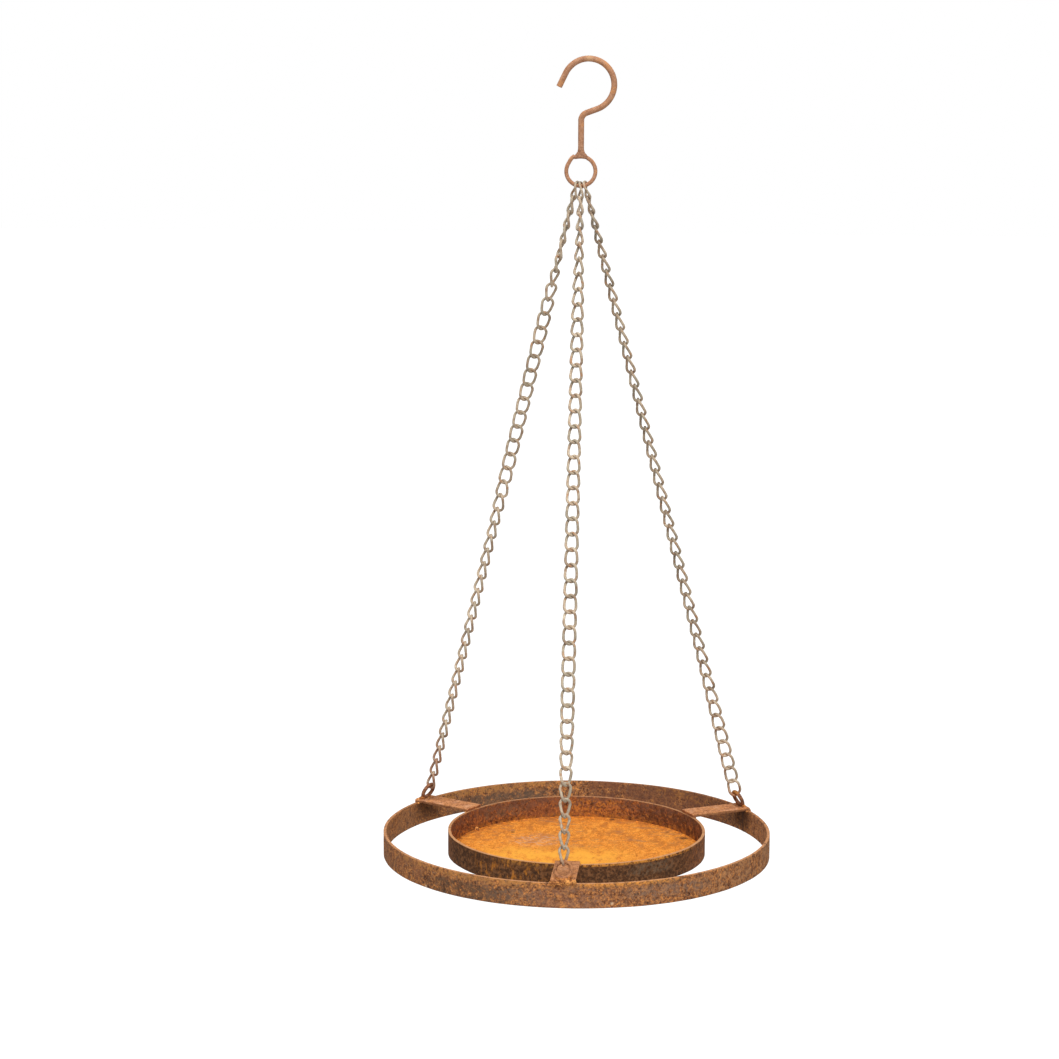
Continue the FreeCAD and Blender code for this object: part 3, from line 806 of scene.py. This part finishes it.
def floor_piece(material):
    """The sheet disc, a little uneven, with a line of caked rust where it meets the band."""
    radius = TRAY_RADIUS - BAND_THICKNESS - WELD_GAP
    top = rim_z - BAND_HEIGHT + FLOOR_THICKNESS
    rings = [radius * (i / 26) for i in range(1, 26)] + [radius - 0.4, radius]
    rows = len(rings)
    around = 120

    def dent(x, y, reach):
        return 0.35 * rough((x, y, 0), 45.0, 3.0) * smooth((radius - reach) / 25)

    points = []
    for level, sign in ((top, 1), (top - FLOOR_THICKNESS, -1)):
        for reach in rings:
            drop = 0.3 * sign if reach == radius else 0.0
            for k in range(around):
                angle = 2 * math.pi * k / around
                x, y = reach * math.cos(angle), reach * math.sin(angle)
                points.append((tray_centre.x + x, y, level + dent(x, y, reach) - drop))
        points.append((tray_centre.x, 0.0, level + dent(0.0, 0.0, 0.0)))
    faces = []
    side = rows * around + 1
    for base, flip in ((0, False), (side, True)):
        middle = base + side - 1
        disc = [(middle, base + k, base + (k + 1) % around) for k in range(around)]
        for row in range(base, base + (rows - 1) * around, around):
            disc += strip(row + around, row, around)
        faces += [tuple(reversed(face)) for face in disc] if flip else disc
    edge = (rows - 1) * around
    faces += strip(side + edge, edge, around)
    line = circle_path(Vector((tray_centre.x, 0, top)), ACROSS, AWAY, radius - 0.2,
                       even(0, 360, 240)[:-1])[0]
    caked = tube(line, [UP] * len(line), 0.75, 8, closed=True,
                 swell=lambda p: 0.35 * rough(p, 4.0, 8.0))
    return piece("floor_sheet", [(points, faces), caked], material, "feeder", ["tray_floor"])


def spoke_piece(name, leg, material, seed):
    """Flat bar with softened edges, its outer end cut round to the ring."""
    inner = TRAY_RADIUS - SPOKE_LAP
    half = SPOKE_WIDTH / 2
    low = rim_z + WELD_GAP
    edge = 0.45
    bevel = 0.13
    columns = 12
    across = even(edge - half, half - edge, columns)
    right_side = [(half - bevel, SPOKE_THICKNESS - bevel), (half, SPOKE_THICKNESS - edge),
                  (half, edge), (half - bevel, bevel)]
    left_side = [(-x, z) for x, z in reversed(right_side)]
    section = [(x, SPOKE_THICKNESS) for x in across] + right_side
    section += [(x, 0.0) for x in reversed(across)] + left_side
    out = outward(leg)
    level = turned(ACROSS, leg["azimuth"])
    points = []
    for part in [0.0, 0.006] + even(0.02, 0.98, 22) + [0.994, 1.0]:
        shrink = 0.35 if part in (0.0, 1.0) else 0.0
        for x, z in section:
            reach = math.sqrt(OUTER_RADIUS ** 2 - x * x)
            along = inner + (reach - inner) * part
            dent = 0.10 * rough((x, along, z), 9.0, seed) if z > 1 else 0.0
            height = min(max(z + dent, shrink), SPOKE_THICKNESS + 0.15 - shrink)
            aside = x * (1 - shrink / half) + 0.15 * rough((along, 3.0, z), 12.0, seed + x / half)
            place = tray_centre + out * along + level * aside
            points.append((place.x, place.y, low + height))
    count = len(section)
    faces = []
    for start in range(0, len(points) - count, count):
        faces += strip(start, start + count, count)
    for start, inner_end in ((0, True), (len(points) - count, False)):
        top = [start + k for k in range(columns + 1)]
        right = [top[-1] + k for k in range(1, len(right_side) + 1)]
        bottom = [right[-1] + 1 + columns - k for k in range(columns + 1)]
        left = [bottom[0] + k for k in range(1, len(left_side) + 1)]
        end = [(top[k], top[k + 1], bottom[k + 1], bottom[k]) for k in range(columns)]
        end += [(top[-1], *right, bottom[-1]), (bottom[0], *left, top[0])]
        faces += [tuple(reversed(face)) for face in end] if inner_end else end
    return piece("flat_bar_" + name, [(points, faces)], material, "feeder", ["spoke_" + name])


def eyelet_piece(name, leg, material):
    """Round wire ring whose foot is sunk in the weld on the spoke."""
    radius = (EYELET_DIAMETER - EYELET_WIRE) / 2
    rise = eyelet_rise(leg)
    level = turned(ACROSS, leg["azimuth"])
    line, facing = circle_path(arch_middle(leg) - rise * radius, level, rise, radius,
                               even(0, 360, 64)[:-1])
    wire = tube(line, facing, EYELET_WIRE / 2, 14, closed=True,
                swell=lambda p: 0.09 * rough(p, 2.0, 6.0))
    return piece("wire_eyelet_" + name, [wire], material, "feeder", ["eyelet_" + name])


def foot_lumps(out, level, seed):
    """Weld metal round an eyelet's foot, alike on both sides but for its size."""
    top = tray_centre + UP * (SPOKE_THICKNESS + WELD_GAP)
    lumps = []
    for side in (-1, 1):
        place = top + out * (EYELET_STAND - 0.2) + level * (side * 3.8)
        lumps.append(blob(place, (3.0, 2.6, 1.5), seed + side, side * 0.5))
        lumps.append(blob(place + out * 1.6 - level * (side * 2.0), (2.6, 2.0, 1.3), seed + 3 + side))
        grow = 1 + 0.25 * side
        place = top + out * (EYELET_STAND - 0.9) + level * (side * 6.0) + UP * 1.6
        lumps.append(blob(place, (1.9 * grow, 2.2 * grow, 1.9 * grow), seed + 40 + side))
    return lumps


def end_lumps(out, level, seed):
    """Weld metal over the outer ring's face at a spoke's outer end, in two uneven rows."""
    lumps = []
    for start, end, count, lift, first_seed in ((-10.8, -4.6, 4, -0.8, -0.8),
                                                (0.0, 10.2, 5, 1.0, 10.0)):
        for i, middle in enumerate(even(start, end, count - 1)):
            aside = middle + 0.5 * rough((i, seed, 0), 1.0, 1.0)
            grow = 1 + 0.35 * rough((i, 0, seed), 1.0, 2.0)
            reach = math.sqrt(OUTER_RADIUS ** 2 - aside ** 2) - 0.45
            height = lift + 1.1 * rough((seed, i, 0), 1.0)
            place = tray_centre + out * reach + level * aside + UP * height
            lumps.append(blob(place, (2.5 * grow, 2.0, 2.7 * grow), seed + first_seed + i,
                              0.0, level.cross(out)))
    return lumps


def rim_lumps(out, level, seed):
    """Small beads under a spoke's corners, where it crosses the two rims."""
    lumps = []
    for side in (-1, 1):
        place = tray_centre + out * (OUTER_RADIUS - 4.2) + level * (side * 12.3) - UP * 0.3
        lumps.append(blob(place, (1.2, 2.2, 1.1), seed + 20 + side, 0.3))
        place = tray_centre + out * (TRAY_RADIUS - 0.4) + level * (side * 12.2) - UP * 0.4
        lumps.append(blob(place, (1.4, 1.6, 1.2), seed + 30 + side, 0.3))
    return lumps


def weld_piece(name, leg, material, seed):
    """Weld metal round an eyelet's foot and where a spoke meets both rims."""
    out = outward(leg)
    level = turned(ACROSS, leg["azimuth"])
    lumps = foot_lumps(out, level, seed) + end_lumps(out, level, seed) + rim_lumps(out, level, seed)
    return piece("weld_" + name, lumps, material, "feeder", [])


def tack_piece(material):
    """Short tacks that hold the floor in the band's foot, and two burrs and a bead at its seam."""
    inside = TRAY_RADIUS - BAND_THICKNESS
    band_foot = tray_centre - UP * BAND_HEIGHT
    lumps = []
    for i in range(8):
        angle = 22.0 + 45 * i
        place = band_foot + turned(-AWAY, angle) * inside
        lumps.append(blob(place, (3.4, 1.9, 0.8), 50 + i, math.radians(angle)))
    way = turned(-AWAY, TRAY_SEAM + 1.1)
    seam = band_foot + way * (inside - 0.6)
    lumps.append(blob(seam + UP * 3.4, (2.6, 1.8, 2.0), 71))
    lumps.append(blob(seam + UP * 2.4 - way * 2.6, (1.6, 1.5, 0.9), 72))
    lumps.append(blob(tray_centre + way * (inside + 1.5), (1.3, 1.5, 0.8), 73))
    return piece("tray_tacks", lumps, material, "feeder", [])


hook_material = hook_skin()
weld_material = weld_skin()
chain_material = chain_skin()
spoke_material = spoke_skin()
eyelet_material = eyelet_skin()
hook_piece(hook_material)
eye_pieces(hook_material)
for number, (leg_name, leg) in enumerate(LEGS.items()):
    chain_piece(leg_name, leg, chain_material)
    spoke_piece(leg_name, leg, spoke_material, 3.0 * number)
    eyelet_piece(leg_name, leg, eyelet_material)
    weld_piece(leg_name, leg, weld_material, 1.0 + 7.0 * number)
band_piece("outer_ring_rolled", OUTER_RADIUS, outer_skin(), OUTER_SEAM, 1.0)
band_piece("tray_band_rolled", TRAY_RADIUS, tray_skin(), TRAY_SEAM, 2.0)
floor_piece(floor_skin())
tack_piece(weld_material)


# Camera, at the photograph's viewing angle: its turns in degrees, its place from the middle of the
# tray's rim, and its lens in the photograph's pixels

CAMERA_HEADING = 4.73
CAMERA_PITCH = 9.33
CAMERA_ROLL = 0.22
CAMERA_PLACE = Vector((182.6, -2812.1, 777.3))
FOCAL_PIXELS = 2800.0
PHOTO_PIXELS = 1059.0
SENSOR_WIDTH = 36.0


def place_camera():
    """The photograph's camera, turned by its heading and pitch and then rolled."""
    heading = math.radians(CAMERA_HEADING)
    pitch = math.radians(CAMERA_PITCH)
    roll = math.radians(CAMERA_ROLL)
    forward = Vector((-math.sin(heading) * math.cos(pitch), math.cos(heading) * math.cos(pitch),
                      -math.sin(pitch)))
    level = Vector((math.cos(heading), math.sin(heading), 0))
    upright = level.cross(forward)
    right = level * math.cos(roll) + upright * math.sin(roll)
    up = upright * math.cos(roll) - level * math.sin(roll)
    data = bpy.data.cameras.new("camera")
    data.sensor_width = SENSOR_WIDTH
    data.lens = SENSOR_WIDTH * FOCAL_PIXELS / PHOTO_PIXELS
    data.clip_end = 100.0
    camera = bpy.data.objects.new("camera", data)
    turning = Matrix((right, up, -forward)).transposed().to_4x4()
    camera.matrix_world = Matrix.Translation((tray_centre + CAMERA_PLACE) / 1000) @ turning
    bpy.context.scene.collection.objects.link(camera)
    bpy.context.scene.camera = camera


# Studio floor, world and lamps. The floor's grey and the world's light are what the feeder gets
# from them, the glow and the look only what the camera sees.

STUDIO_REACH = 30000.0
STUDIO_HEIGHT = -1900.0
STUDIO_GREY = 0.48
STUDIO_GLOW = 0.62
WORLD_LIGHT = 0.28
WORLD_LOOK = 1.0
LAMPS = {
    "lamp_top": {"way": (0.14, 0.18, -1.0), "level": 0.48, "spread": 26.0},
    "lamp_front": {"way": (-0.28, 1.0, -0.90), "level": 0.55, "spread": 36.0},
}


def seen(tree):
    """1 for what the camera sees, also in gloss and through glass."""
    path = tree.nodes.new("ShaderNodeLightPath")
    total = path.outputs["Is Camera Ray"]
    for name in ("Is Glossy Ray", "Is Transmission Ray"):
        node = tree.nodes.new("ShaderNodeMath")
        node.operation = "MAXIMUM"
        tree.links.new(total, node.inputs[0])
        tree.links.new(path.outputs[name], node.inputs[1])
        total = node.outputs[0]
    return total


def place_floor():
    """A wide grey sheet far below the feeder, which the camera sees as white."""
    mesh = bpy.data.meshes.new("studio_floor")
    corners = [Vector((x * STUDIO_REACH, y * STUDIO_REACH, STUDIO_HEIGHT)) / 1000
               for x, y in ((-1, -1), (1, -1), (1, 1), (-1, 1))]
    mesh.from_pydata(corners, [], [(0, 1, 2, 3)])
    obj = bpy.data.objects.new("studio_floor", mesh)
    bpy.context.scene.collection.objects.link(obj)
    material = bpy.data.materials.new("studio_floor")
    material.use_nodes = True
    tree = material.node_tree
    tree.nodes.clear()
    diffuse = tree.nodes.new("ShaderNodeBsdfDiffuse")
    diffuse.inputs["Color"].default_value = (STUDIO_GREY, STUDIO_GREY, STUDIO_GREY, 1)
    glow = tree.nodes.new("ShaderNodeEmission")
    glow.inputs["Color"].default_value = (1, 1, 1, 1)
    lit = tree.nodes.new("ShaderNodeMath")
    lit.operation = "MULTIPLY"
    lit.inputs[1].default_value = STUDIO_GLOW
    tree.links.new(seen(tree), lit.inputs[0])
    tree.links.new(lit.outputs[0], glow.inputs["Strength"])
    total = tree.nodes.new("ShaderNodeAddShader")
    output = tree.nodes.new("ShaderNodeOutputMaterial")
    tree.links.new(diffuse.outputs[0], total.inputs[0])
    tree.links.new(glow.outputs[0], total.inputs[1])
    tree.links.new(total.outputs[0], output.inputs["Surface"])
    mesh.materials.append(material)


def place_lights():
    """An even white world and two soft lamps."""
    world = bpy.data.worlds.new("studio")
    bpy.context.scene.world = world
    world.use_nodes = True
    tree = world.node_tree
    tree.nodes.clear()
    background = tree.nodes.new("ShaderNodeBackground")
    background.inputs["Color"].default_value = (1, 1, 1, 1)
    strength = tree.nodes.new("ShaderNodeMapRange")
    tree.links.new(seen(tree), strength.inputs[0])
    strength.inputs[3].default_value = WORLD_LIGHT
    strength.inputs[4].default_value = WORLD_LOOK
    tree.links.new(strength.outputs[0], background.inputs["Strength"])
    output = tree.nodes.new("ShaderNodeOutputWorld")
    tree.links.new(background.outputs[0], output.inputs["Surface"])
    for name, light in LAMPS.items():
        data = bpy.data.lights.new(name, "SUN")
        data.energy = light["level"] * math.pi
        data.angle = math.radians(light["spread"])
        lamp = bpy.data.objects.new(name, data)
        lamp.rotation_euler = Vector(light["way"]).to_track_quat("-Z", "Y").to_euler()
        bpy.context.scene.collection.objects.link(lamp)


place_camera()
place_floor()
place_lights()
bpy.context.scene.view_settings.view_transform = "Standard"
